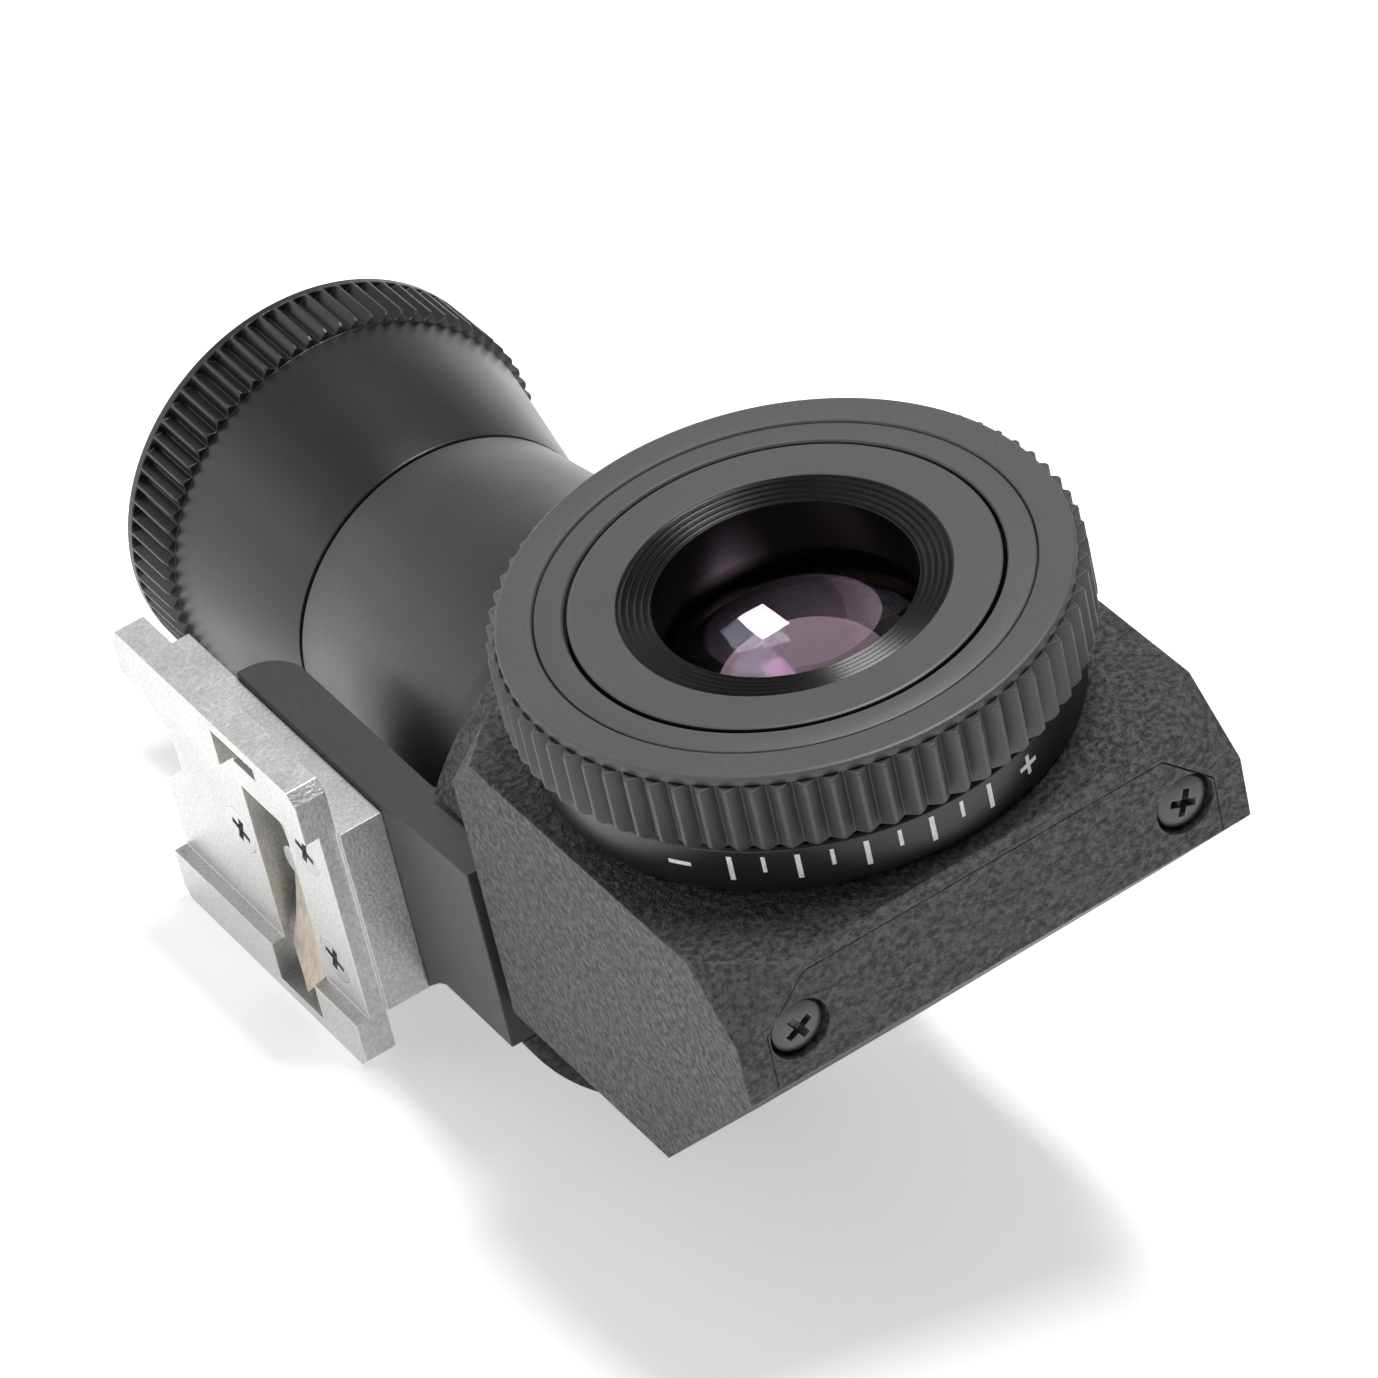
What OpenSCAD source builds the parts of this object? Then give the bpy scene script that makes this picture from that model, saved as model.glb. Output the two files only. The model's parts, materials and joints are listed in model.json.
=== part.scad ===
// Shoe-mount right-angle viewfinder.
// +X runs from the shoe foot's outer face to the barrel, +Y forward along the barrel,
// +Z along the eyepiece axis. The origin is the centre of the foot's outer face. Millimetres.

/* [Overall] */
// Distance from the foot's outer face to the barrel axis
axis_x = 19.1; // [18.8:0.1:20.5]
// Which node to draw, or all of them

/* [Shoe foot] */
// Width of the foot plate across the camera's rails
foot_w = 18.6; // [18.4:0.1:18.7]
// Length of the foot plate
foot_len = 19; // [18.6:0.1:19.4]
// Thickness of the foot plate's edges
foot_t = 1.8; // [1.7:0.05:1.9]
// Height of the neck between the plate and the arm
neck_h = 2.5; // [2.4:0.05:2.6]
// Width of the foot's neck
neck_w = 12; // [11.6:0.1:12.2]
// Depth of the channel down the outer face
channel_deep = 0.8; // [0.6:0.05:0.9]

/* [Bracket] */
// Thickness of the arm
arm_t = 2.8; // [2.6:0.05:2.9]
// Outer radius of the collar
collar_r = 14.8; // [14.6:0.1:15]
// Length of the collar along the barrel
collar_len = 6.3; // [6.1:0.1:6.5]

/* [Housing] */
// Width of the mirror housing
house_w = 29.2; // [29:0.1:29.6]
// Height of the housing's top face above the barrel axis
house_top = 16.6; // [16.5:0.1:16.9]
// Depth of the housing's underside below the barrel axis
house_deep = 11.4; // [11.2:0.1:11.6]
// Distance from the back face to the front face
house_len = 25.5; // [25.4:0.1:25.8]
// Thickness of the side walls
wall = 1.6; // [1.5:0.05:1.7]

/* [Eyepiece] */
// Radius of the smooth lip of the dioptre ring
ring_r = 14.1; // [14:0.05:14.2]
// Height of the dioptre ring
ring_h = 4.7; // [4.6:0.05:4.8]
// Teeth in the dioptre ring's knurl
ring_teeth = 72; // [60:2:80]
// Radius of the eyepiece cell's face
cell_r = 10.6; // [10.55:0.01:10.62]
// Radius where the eyepiece's stepped mouth begins
mouth_r = 8.2; // [8.1:0.05:8.3]

/* [Barrel] */
// Radius at the joint between tube and objective sleeve
waist_r = 9.3; // [9.25:0.05:9.4]
// Length of the objective sleeve
sleeve_len = 15.2; // [15:0.1:15.4]
// Teeth in the objective rim's knurl
rim_teeth = 76; // [64:2:84]

/* [Hidden] */
$fn = 96;
eps = 0.02;          // gap between parts that are screwed or glued together
run = 0.05;          // radial clearance of a running fit
over = 1;            // how far a cut runs past the face it opens
sqrt2 = sqrt(2);

neck_top = foot_t + neck_h;
channel_half = 6.2;
neck_len = foot_len + 0.7;
slot_y0 = -5.2;
slot_y1 = -0.8;
slot_z = 8.6;
foot_screw_at = [[1, 0.1], [-7, 3.7], [-7, -3.7]];
foot_screw_r = 1.4;
foot_shank_r = 0.75;
foot_screw_end = neck_top + 1.8;
leaf_t = 0.3;
leaf_bow_r = 22;
leaf_x = 2.15;
rivet_y = -3;

arm_x1 = neck_top + arm_t;
arm_nose_r = 2.4;
arm_front = 4.8;
house_back = -19.6;
collar_back = -18.6;
collar_front = collar_back + collar_len;
collar_bore = 10.45;
arm_screw_y = [collar_front - 1.6, collar_back + 1.6];

track_r = 12.6;
ball_r = 0.9;
ball_y = collar_back - 0.1;
ball_turn = 140;
stop_r = 0.7;
stop_deep = 2.6;
washer_t = 0.3;
boss_face = collar_back - washer_t - 2 * run;
boss_r = 13.8;

house_front = house_back - house_len;
half = house_w / 2;
chamfer_z = -1.4;                    // where the side faces turn in towards the underside
slope_z = 9.6;                       // where the front face turns into the 45 degree slope
slope_sum = house_front + slope_z;   // y + z on the slope's outer face
back_wall = 2;
top_wall = 2;
cover_t = 1.8;
cover_corner = 2.6;                  // how much the cover's top corners are cut
cover_top = house_top - 1;
cover_bottom = -9.5;
eye_y = -30.6;                       // the eyepiece axis, and y + z on the mirror's face
front_corner = 3.4;
back_corner = 2.5;
screw_dx = 11.2;
screw_z = 12.4;
screw_head_r = 1.5;
screw_shank_r = 0.8;
mirror_w = 14.4;
mirror_t = 1.5;
pad_t = (eye_y - slope_sum) / sqrt2 - mirror_t - cover_t;

journal_r = collar_bore - run;
thread_r = 8.4;
tube_end = house_back - back_wall - 1.7;
tube_bore = 6.9;
tube_r = 11.5;
flare_end = -8;
waist_y = 9.4;
waist_gap = 0.2;
nose_r = 8.2;
nose_end = 16.5;
seat_y = 15;
sleeve_y0 = waist_y + waist_gap;
sleeve_end = sleeve_y0 + sleeve_len;
rim_y0 = sleeve_end - 5.3;
rim_y1 = sleeve_end - 0.9;
rim_root_r = 11.25;
rim_body_r = rim_root_r + 0.06;
rim_tip_r = 11.75;
lip_r = 10.65;
front_bore = 9.3;
hood_r = 9.6;
hood_deep = 2.2;
obj_travel = 0.6;
obj_cell_r = front_bore - 0.08;
obj_cell_y0 = nose_end + 0.7;
obj_cell_y1 = obj_cell_y0 + 4.8;
obj_skirt_r = tube_bore - run;
obj_skirt_y = 12;
obj_clear_r = 6.1;
front_lens_r = 8;
obj_key_y = 13.6;

neck_r = 13.5;
neck_base = house_top;
ring_z0 = 19.75;
ring_z1 = ring_z0 + ring_h;
journal_z_r = 12.2;
spigot_r = 10.3;
cell_face = ring_z1 - 0.05;
cell_step = 18;
cell_low_r = 8.6;
cell_bottom = 13;
eye_bore = 7.25;
eye_stop_r = 6.5;
eye_stop_z = 21.2;
mouth_deep = 0.3;
mouth_steps = 5;
ring_root_r = 13.9;
ring_body_r = ring_root_r + 0.08;
ring_tip_r = 14.6;
snap_z = 21;
eye_key_z = 19;
eye_travel = 1;

black = [0.07, 0.07, 0.08];
rough_black = [0.11, 0.11, 0.12];
silver = [0.82, 0.82, 0.8];
bronze = [0.72, 0.6, 0.42];
steel = [0.6, 0.6, 0.62];
glass = [0.5, 0.45, 0.65, 0.4];

/* Placing */

// The child's +z along the barrel, starting at y
module on_barrel(y) {
  translate([axis_x, y, 0])
    rotate([-90, 0, 0])
      children();
}

// The child's +z along the eyepiece, starting at height z
module on_eyepiece(z) {
  translate([axis_x, eye_y, z])
    children();
}

// The child's +z into the camera side of the foot, starting at depth x
module into_foot(x, y, z) {
  translate([x, y, z])
    rotate([0, 90, 0])
      children();
}

// A (y, z) outline drawn across the head, w wide about the barrel axis
module across_head(w) {
  translate([axis_x - w / 2, 0, 0])
    rotate([90, 0, 90])
      linear_extrude(w)
        children();
}

// An (x, z) outline about the barrel axis, drawn from y0 back to y1
module along_head(y0, y1) {
  translate([axis_x, y0, 0])
    rotate([90, 0, 0])
      linear_extrude(y0 - y1)
        children();
}

/* Shared shapes */

module tube(r_out, r_in, h) {
  difference() {
    cylinder(r = r_out, h = h);
    translate([0, 0, -over])
      cylinder(r = r_in, h = h + 2 * over);
  }
}

// Straight knurl: pointed teeth between two radii, bored out
module knurl(teeth, r_tip, r_root, r_in, h) {
  pitch = 360 / teeth;
  flat = 0.08;
  points = [for (i = [0 : teeth - 1])
    for (p = [[-flat, r_tip], [flat, r_tip], [0.5, r_root]])
      p[1] * [cos((i + p[0]) * pitch), sin((i + p[0]) * pitch)]];
  linear_extrude(h)
    difference() {
      polygon(points);
      circle(r = r_in);
    }
}

// Lens from z = 0 to z = t; a negative radius hollows that face in from its rim
module lens(r, t, low_r, high_r) {
  low_sag = abs(low_r) - sqrt(low_r * low_r - r * r);
  high_sag = abs(high_r) - sqrt(high_r * high_r - r * r);
  difference() {
    intersection() {
      cylinder(r = r, h = t);
      if (low_r > 0)
        translate([0, 0, low_r])
          sphere(r = low_r);
      if (high_r > 0)
        translate([0, 0, t - high_r])
          sphere(r = high_r);
    }
    if (low_r < 0)
      translate([0, 0, low_sag + low_r])
        sphere(r = -low_r);
    if (high_r < 0)
      translate([0, 0, t - high_sag - high_r])
        sphere(r = -high_r);
  }
}

// Cross recess in a screw head whose face is at z = 0
module cross_recess(r, deep) {
  width = r * 0.34;
  for (turn = [0, 90])
    rotate([0, 0, turn])
      translate([-r * 0.62, -width / 2, -deep])
        cube([r * 1.24, width, deep + over]);
}

// Cuts a corner of the housing's top face off, equally along its three edges
module corner_cut(side, y, end, leg) {
  size = 4 * leg;
  tilt = acos(1 / sqrt(3));
  translate([axis_x + side * half, y, house_top])
    rotate([0, 0, atan2(end, side)])
      rotate([0, tilt, 0])
        translate([-size / 2, -size / 2, -leg / sqrt(3)])
          cube(size);
}

/* Foot */

module shoe_foot() {
  color(silver)
    difference() {
      union() {
        foot_plate();
        translate([foot_t - eps, -neck_len / 2, -neck_w / 2])
          cube([neck_h + eps, neck_len, neck_w]);
      }
      foot_channel();
      foot_slot();
      foot_notch();
      for (p = foot_screw_at)
        foot_screw_hole(p);
      into_foot(foot_t - over, rivet_y, 0)
        cylinder(r = 0.5, h = neck_h + 2 * over);
    }
}

module foot_plate() {
  cut = 0.9;
  difference() {
    translate([0, -foot_len / 2, -foot_w / 2])
      cube([foot_t, foot_len, foot_w]);
    for (end = [-1, 1])
      for (side = [-1, 1])
        translate([foot_t / 2, end * foot_len / 2, side * foot_w / 2])
          rotate([45, 0, 0])
            cube([foot_t + 2 * over, cut, cut], center = true);
  }
}

// Shallow channel down the whole outer face, between the two rails
module foot_channel() {
  translate([-over, -foot_len / 2 - over, -channel_half])
    cube([channel_deep + over, foot_len + 2 * over, 2 * channel_half]);
}

// Crosswise slot that the leaf spring works in, with a step at its upper end
module foot_slot() {
  floor_x = 2.7;
  tab_z = 4.4;
  translate([-over, slot_y0, -slot_z])
    cube([foot_t + over, slot_y1 - slot_y0, slot_z + tab_z]);
  translate([-over, -2.9, -slot_z])
    cube([foot_t + over, slot_y1 + 2.9, 2 * slot_z]);
  translate([-over, slot_y0, channel_half + 1.6])
    cube([foot_t + over, slot_y1 - slot_y0, slot_z - channel_half - 1.6]);
  translate([0, slot_y0, -channel_half + 1])
    cube([floor_x, slot_y1 - slot_y0, 2 * channel_half - 2]);
}

// V notch in the channel's floor at the front end
module foot_notch() {
  front = foot_len / 2 + over;
  translate([-over, 0, 0])
    rotate([90, 0, 90])
      linear_extrude(foot_t + over)
        polygon([[6, 1.4], [front, 5.2], [front, -2.6]]);
}

module foot_screw_hole(p) {
  into_foot(channel_deep - over, p[0], p[1])
    cylinder(r = foot_shank_r + eps, h = foot_screw_end + over);
  into_foot(channel_deep, p[0], p[1])
    foot_screw_head(eps);
  into_foot(channel_deep - over, p[0], p[1])
    cylinder(r = foot_screw_r + eps, h = over + eps);
}

module foot_screw_head(gap) {
  cylinder(r1 = foot_screw_r + gap, r2 = foot_shank_r + gap, h = foot_screw_r - foot_shank_r + gap);
}

// Three countersunk screws that hold the arm to the foot
module foot_screws() {
  color(steel)
    for (p = foot_screw_at)
      into_foot(channel_deep, p[0], p[1])
        difference() {
          union() {
            foot_screw_head(0);
            cylinder(r = foot_shank_r, h = foot_screw_end - channel_deep - eps);
          }
          rotate([180, 0, 20])
            cross_recess(foot_screw_r, 0.5);
        }
}

// Leaf that grips the camera's shoe: bowed inwards at the middle, its ends out near the face
module foot_spring() {
  bow_x = leaf_x - leaf_bow_r;
  color(bronze)
    difference() {
      intersection() {
        translate([bow_x, 0, 0])
          rotate([90, 0, 0])
            translate([0, 0, -slot_y1])
              tube(leaf_bow_r + leaf_t / 2, leaf_bow_r - leaf_t / 2, slot_y1 - slot_y0);
        rotate([90, 0, 90])
          linear_extrude(leaf_x + leaf_t)
            leaf_outline();
      }
      into_foot(0, rivet_y, 0)
        cylinder(r = 0.5 + eps, h = foot_t + neck_h);
    }
}

// The leaf flattened: narrow at the rivet, wide near each end, then pointed
module leaf_outline() {
  polygon([[-2.1, 0], [-1.2, -6.4], [-3.1, -8.3], [-4.8, -6.4], [-3.9, 0],
    [-4.8, 3.6], [-3.1, 4.2], [-1.3, 7.2], [-1.2, 5]]);
}

module spring_rivet() {
  head_x = 1.6;
  color(steel) {
    into_foot(head_x, rivet_y, 0)
      cylinder(r = 0.9, h = leaf_x - leaf_t / 2 - head_x - eps);
    into_foot(leaf_x - leaf_t, rivet_y, 0)
      cylinder(r = 0.5 - eps, h = neck_top - leaf_x);
  }
}

/* Bracket */

// Side view of the arm: it drops away from the foot's neck and rises a little to the collar
module arm_outline() {
  polygon([[arm_front, 6.4], [-10.4, 6.4], [-12, 7], [collar_back, 7.3],
    [collar_back, -4.4], [collar_front + 0.2, -4.4], [-11.2, -4.9], [-9.6, -6.2], [arm_front, -6.2]]);
}

module bracket_arm() {
  nose_y = arm_front - arm_nose_r;
  color(black)
    difference() {
      translate([neck_top + eps, 0, 0])
        rotate([90, 0, 90])
          linear_extrude(arm_t - eps)
            arm_outline();
      // the front end is rounded over towards the barrel
      difference() {
        translate([arm_x1 - arm_nose_r, nose_y, -foot_w / 2])
          cube([arm_nose_r + over, arm_nose_r + over, foot_w]);
        translate([arm_x1 - arm_nose_r, nose_y, -foot_w / 2])
          cylinder(r = arm_nose_r, h = foot_w);
      }
      for (p = foot_screw_at)
        into_foot(neck_top - over, p[0], p[1])
          cylinder(r = foot_shank_r + eps, h = foot_screw_end - neck_top + over + eps);
      for (y = arm_screw_y)
        into_foot(arm_x1 - 1.6, y, 0)
          cylinder(r = 0.7 + eps, h = 1.6 + over);
    }
}

module collar_ring() {
  color(rough_black)
    difference() {
      on_barrel(collar_back)
        tube(collar_r, collar_bore, collar_len);
      // seat for the arm
      translate([neck_top - over, collar_back - over, -4.4 - eps])
        cube([arm_t + over + eps, collar_len + 2 * over, 11.9]);
      for (y = arm_screw_y)
        arm_screw(y, eps, over);
      // arc that the stop pin travels in
      on_barrel(collar_back - over)
        rotate([0, 0, -90 - stop_margin()])
          rotate_extrude(angle = 180 + 2 * stop_margin())
            translate([track_r - stop_r - 0.2, 0])
              square([2 * (stop_r + 0.2), stop_deep + over]);
      // bore for the detent
      detent_place(collar_back - over)
        cylinder(r = ball_r + run, h = collar_len + 2 * over);
    }
}

// Half-angle the stop slot runs past the pin's centre at each end
function stop_margin() = (stop_r + 0.3) / track_r * 180 / PI;

module arm_screw(y, gap, past) {
  head_x = axis_x - collar_bore - 0.1;
  into_foot(head_x - 0.7 - gap, y, 0)
    cylinder(r = 1.2 + gap, h = 0.7 + gap + past);
  into_foot(arm_x1 - 1.5, y, 0)
    cylinder(r = 0.7 + gap, h = head_x - arm_x1 + 1.5 - gap - 0.1);
}

// Two screws from inside the collar into the arm
module arm_screws() {
  head_x = axis_x - collar_bore - 0.1;
  color(steel)
    for (y = arm_screw_y)
      difference() {
        arm_screw(y, 0, 0);
        into_foot(head_x, y, 0)
          cross_recess(1.2, 0.35);
      }
}

module thrust_washer() {
  color(steel)
    on_barrel(collar_back - washer_t - run)
      tube(11.6, journal_r + 0.15, washer_t);
}

/* Detent: a ball, its spring and the screw that loads it */

module detent_place(y) {
  on_barrel(y)
    rotate([0, 0, ball_turn])
      translate([track_r, 0, 0])
        children();
}

module detent_ball() {
  color(steel)
    detent_place(ball_y)
      sphere(r = ball_r);
}

module detent_spring() {
  wire = 0.16;
  y0 = ball_y + ball_r;
  y1 = collar_front - 2;
  coils = floor((y1 - y0) / (1.9 * wire));
  pitch = (y1 - y0) / coils;
  color(steel)
    detent_place(y0)
      rotate_extrude()
        for (i = [0 : coils - 1])
          translate([0.6, (i + 0.5) * pitch])
            circle(r = wire, $fn = 24);
}

module detent_screw() {
  color(steel)
    detent_place(collar_front - 1.95)
      difference() {
        cylinder(r = ball_r + run - eps, h = 1.9);
        translate([-0.15, -over, 1.4])
          cube([0.3, 2 * over, over]);
      }
}

/* Mirror housing */

// Side view of the housing
module house_side() {
  polygon([[house_back, -house_deep], [house_back, house_top], [house_front, house_top],
    [house_front, slope_z], [slope_sum + house_deep, -house_deep]]);
}

// End view: flat sides that turn in at 45 degrees to the underside; inset by t
module house_end(t, top) {
  x = half - t;
  z = chamfer_z + t * (sqrt2 - 1);
  low = -house_deep + t;
  polygon([[-x, top], [-x, z], [-x + z - low, low], [x - z + low, low], [x, z], [x, top]]);
}

module mirror_housing() {
  color(rough_black)
    difference() {
      union() {
        difference() {
          intersection() {
            across_head(house_w)
              house_side();
            along_head(over, house_front - over)
              house_end(0, house_top);
          }
          for (side = [-1, 1]) {
            corner_cut(side, house_front, -1, front_corner);
            corner_cut(side, house_back, 1, back_corner);
          }
          house_cavity();
        }
        for (side = [-1, 1])
          translate([side * screw_dx, 0, screw_z])
            on_barrel(house_front + cover_t)
              cylinder(r = 2.25, h = 5);
        on_barrel(house_back - 0.5)
          cylinder(r = boss_r, h = boss_face - house_back + 0.5);
      }
      // thread for the barrel tube
      on_barrel(house_back - back_wall - over)
        cylinder(r = thread_r + eps, h = back_wall + boss_face - house_back + 2 * over);
      // thread for the eyepiece neck
      on_eyepiece(house_top - top_wall - over)
        cylinder(r = spigot_r + eps, h = top_wall + 2 * over);
      cover_screw_holes();
      detent_track();
      on_barrel(boss_face - 1.5)
        rotate([0, 0, -90])
          translate([track_r, 0, 0])
            cylinder(r = stop_r, h = 1.5 + over);
    }
}

// End view of the cover's opening, inset by t, with its top corners cut
module cover_end(t, top) {
  x = half - t;
  intersection() {
    house_end(t, top);
    polygon([[-x, -house_deep], [-x, top - cover_corner], [-x + cover_corner, top],
      [x - cover_corner, top], [x, top - cover_corner], [x, -house_deep]]);
  }
}

module house_cavity() {
  along_head(house_back - back_wall, house_front + cover_t)
    intersection() {
      house_end(wall, house_top);
      translate([-half, -house_deep])
        square([house_w, house_deep + house_top - top_wall]);
    }
  along_head(house_front + cover_t + eps, house_front - over)
    cover_end(wall, cover_top);
}

module cover_screw_holes() {
  for (side = [-1, 1])
    translate([side * screw_dx, 0, screw_z])
      on_barrel(house_front + cover_t - over)
        cylinder(r = screw_shank_r + eps, h = 4 + over);
}

// Track for the detent ball in the boss, with a click every quarter turn
module detent_track() {
  deep = boss_face - (ball_y - ball_r) + 0.1;
  on_barrel(boss_face - deep)
    tube(track_r + ball_r + 0.1, track_r - ball_r - 0.1, deep + over);
  for (click = [0 : 90 : 180])
    on_barrel(ball_y - 0.25)
      rotate([0, 0, ball_turn - click])
        translate([track_r, 0, 0])
          sphere(r = ball_r + 0.05);
}

// Front and sloping cover in one piece, carrying the mirror
module mirror_cover() {
  gap = 0.05;
  inner_sum = slope_sum + cover_t * sqrt2;
  knee_z = inner_sum - (house_front + cover_t);
  color(rough_black)
    difference() {
      intersection() {
        across_head(house_w)
          polygon([[house_front, cover_top - gap], [house_front, slope_z],
            [slope_sum - cover_bottom, cover_bottom], [inner_sum - cover_bottom, cover_bottom],
            [house_front + cover_t, knee_z], [house_front + cover_t, cover_top - gap]]);
        along_head(house_back - back_wall - gap, house_front - over)
          cover_end(wall + gap, cover_top - gap);
      }
      for (side = [-1, 1])
        translate([side * screw_dx, 0, screw_z]) {
          on_barrel(house_front - over)
            cylinder(r = screw_head_r + 0.15, h = over + 1);
          on_barrel(house_front - over)
            cylinder(r = screw_shank_r + 0.1, h = cover_t + 2 * over);
        }
    }
}

// Two pan-head screws, sunk in the cover's face
module cover_screws() {
  color(steel)
    for (side = [-1, 1])
      translate([side * screw_dx, 0, screw_z])
        on_barrel(house_front + 1)
          difference() {
            union() {
              translate([0, 0, -0.8 - eps])
                cylinder(r = screw_head_r, h = 0.8);
              translate([0, 0, -0.1])
                cylinder(r = screw_shank_r, h = 4);
            }
            translate([0, 0, -0.8 - eps])
              rotate([180, 0, 30])
                cross_recess(screw_head_r, 0.5);
          }
}

// The child's z = 0 on the mirror's face, its +z out through the slope
module on_mirror() {
  translate([axis_x, eye_y, 0])
    rotate([135, 0, 0])
      children();
}

module mirror() {
  color(glass)
    on_mirror()
      translate([-mirror_w / 2, -mirror_w / 2, 0])
        cube([mirror_w, mirror_w, mirror_t]);
}

module mirror_pad() {
  side = mirror_w - 2;
  color(black)
    on_mirror()
      translate([-side / 2, -side / 2, mirror_t + eps])
        cube([side, side, pad_t - 2 * eps]);
}

module stop_pin() {
  color(steel)
    on_barrel(boss_face - 1.4)
      rotate([0, 0, -90])
        translate([track_r, 0, 0])
          cylinder(r = stop_r - eps, h = 1.4 + collar_back - boss_face + stop_deep - 0.4);
}

/* Barrel */

module barrel_tube() {
  color(black)
    difference() {
      on_barrel(0)
        rotate_extrude()
          polygon([[tube_bore, tube_end], [thread_r, tube_end], [thread_r, boss_face + eps],
            [journal_r, boss_face + eps], [journal_r, collar_front + run],
            [tube_r, collar_front + run], [tube_r, flare_end], [waist_r, waist_y],
            [nose_r, waist_y], [nose_r, nose_end], [tube_bore, nose_end]]);
      // axial slot that keeps the objective cell from turning
      translate([axis_x - 0.6, obj_key_y - obj_travel - 0.8, 0])
        cube([1.2, 2 * (obj_travel + 0.8), nose_r + over]);
    }
}

module tube_lock_ring() {
  color(black)
    on_barrel(tube_end + eps)
      difference() {
        tube(9.35, thread_r + eps, house_back - back_wall - tube_end - 2 * eps);
        for (side = [-1, 1])
          translate([side * 8.9 - 0.4, -0.4, -over])
            cube([0.8, 0.8, over + 0.6]);
      }
}

// Mask in the tube that frames the view
module field_stop() {
  y = -14;
  color(black)
    on_barrel(y)
      difference() {
        cylinder(r = tube_bore - eps, h = 0.8);
        translate([-3, -4.5, -over])
          cube([6, 9, 0.8 + 2 * over]);
      }
}

module relay_lens() {
  color(glass)
    on_barrel(-3)
      lens(tube_bore - eps, 3.4, 17, 17);
}

module relay_lens_ring() {
  color(black)
    on_barrel(0.5)
      tube(tube_bore - eps, 5.9, 1.6);
}

// Nut on the tube's nose that keeps the objective sleeve on
module sleeve_retainer() {
  color(steel)
    on_barrel(seat_y + run)
      difference() {
        tube(front_bore - 0.2, nose_r + eps, 1.2);
        for (side = [-1, 1])
          translate([side * 8.8 - 0.3, -0.3, 0.6])
            cube([0.6, 0.6, over]);
      }
}

module objective_sleeve() {
  color(black) {
    on_barrel(0)
      rotate_extrude()
        polygon([[nose_r + run, sleeve_y0], [waist_r, sleeve_y0], [rim_body_r, rim_y0],
          [rim_body_r, rim_y1], [lip_r, sleeve_end], [hood_r, sleeve_end],
          [hood_r, sleeve_end - hood_deep], [front_bore, sleeve_end - hood_deep],
          [front_bore, seat_y], [nose_r + run, seat_y]]);
    on_barrel(rim_y0 + 0.1)
      knurl(rim_teeth, rim_tip_r, rim_root_r, rim_root_r - 0.6, rim_y1 - rim_y0 - 0.2);
  }
}

/* Objective cell */

module objective_cell() {
  seat = obj_cell_y0 + 1.2;
  color(black)
    difference() {
      on_barrel(0)
        rotate_extrude()
          polygon([[obj_clear_r, obj_skirt_y], [obj_skirt_r, obj_skirt_y],
            [obj_skirt_r, obj_cell_y0], [obj_cell_r, obj_cell_y0], [obj_cell_r, obj_cell_y1],
            [front_lens_r + eps, obj_cell_y1], [front_lens_r + eps, seat], [obj_clear_r, seat]]);
      translate([axis_x, obj_key_y, 0])
        cylinder(r = 0.45 + eps, h = nose_r);
    }
}

module front_lens() {
  color(glass)
    on_barrel(obj_cell_y0 + 1.2 + eps)
      lens(front_lens_r, 1.8, -45, 60);
}

module front_lens_ring() {
  z0 = obj_cell_y0 + 1.2 + 1.8 - 0.36;
  color(black)
    on_barrel(z0)
      tube(front_lens_r, front_lens_r - 0.9, obj_cell_y1 - z0);
}

module objective_key_pin() {
  color(steel)
    translate([axis_x, obj_key_y, obj_clear_r + 0.1])
      cylinder(r = 0.45, h = nose_r - 0.3 - obj_clear_r - 0.1);
}

/* Eyepiece */

module eyepiece_neck() {
  color(black)
    difference() {
      on_eyepiece(0)
        rotate_extrude()
          polygon([[cell_low_r + run, neck_base - top_wall], [spigot_r, neck_base - top_wall],
            [spigot_r, neck_base + eps], [neck_r - 0.3, neck_base + eps], [neck_r, neck_base + 0.3],
            [neck_r, ring_z0 - 0.3], [journal_z_r, ring_z0 - 0.3], [journal_z_r, snap_z - 0.3],
            [journal_z_r - 0.4, snap_z - 0.3], [journal_z_r - 0.4, snap_z + 0.3],
            [journal_z_r, snap_z + 0.3], [journal_z_r, cell_face - 0.12], [journal_z_r - 0.12, cell_face],
            [cell_r + 0.15, cell_face], [cell_r + run, cell_face - 0.1],
            [cell_r + run, cell_step - eye_travel - 0.3],
            [cell_low_r + run, cell_step - eye_travel - 0.3]]);
      // axial slot that keeps the eyepiece cell from turning
      on_eyepiece(eye_key_z - eye_travel - 0.7)
        translate([0, -0.6, 0])
          cube([11.7, 1.2, 2 * (eye_travel + 0.7)]);
    }
}

// Split wire ring that holds the dioptre ring down
module snap_ring() {
  color(steel)
    on_eyepiece(snap_z - 0.22)
      difference() {
        tube(journal_z_r + 0.38, journal_z_r - 0.36, 0.44);
        translate([0, -1, -over])
          cube([neck_r, 2, 3 * over]);
      }
}

module dioptre_ring() {
  bore = journal_z_r + run;
  lip = 0.5;
  groove = 0.12;
  color(black)
    on_eyepiece(0) {
      rotate_extrude()
        polygon([[bore, ring_z0], [ring_body_r - 0.4, ring_z0], [ring_body_r, ring_z0 + 0.4],
          [ring_body_r, ring_z1 - lip - 0.05], [ring_r, ring_z1 - lip - 0.05], [ring_r, ring_z1 - 0.15],
          [ring_r - 0.15, ring_z1], [bore + groove, ring_z1], [bore, ring_z1 - groove],
          [bore, snap_z + 0.35], [bore + 0.45, snap_z + 0.35], [bore + 0.45, snap_z - 0.35],
          [bore, snap_z - 0.35]]);
      translate([0, 0, ring_z0 + 0.2])
        knurl(ring_teeth, ring_tip_r, ring_root_r, ring_root_r - 0.6, ring_h - lip - 0.2);
    }
}

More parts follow.
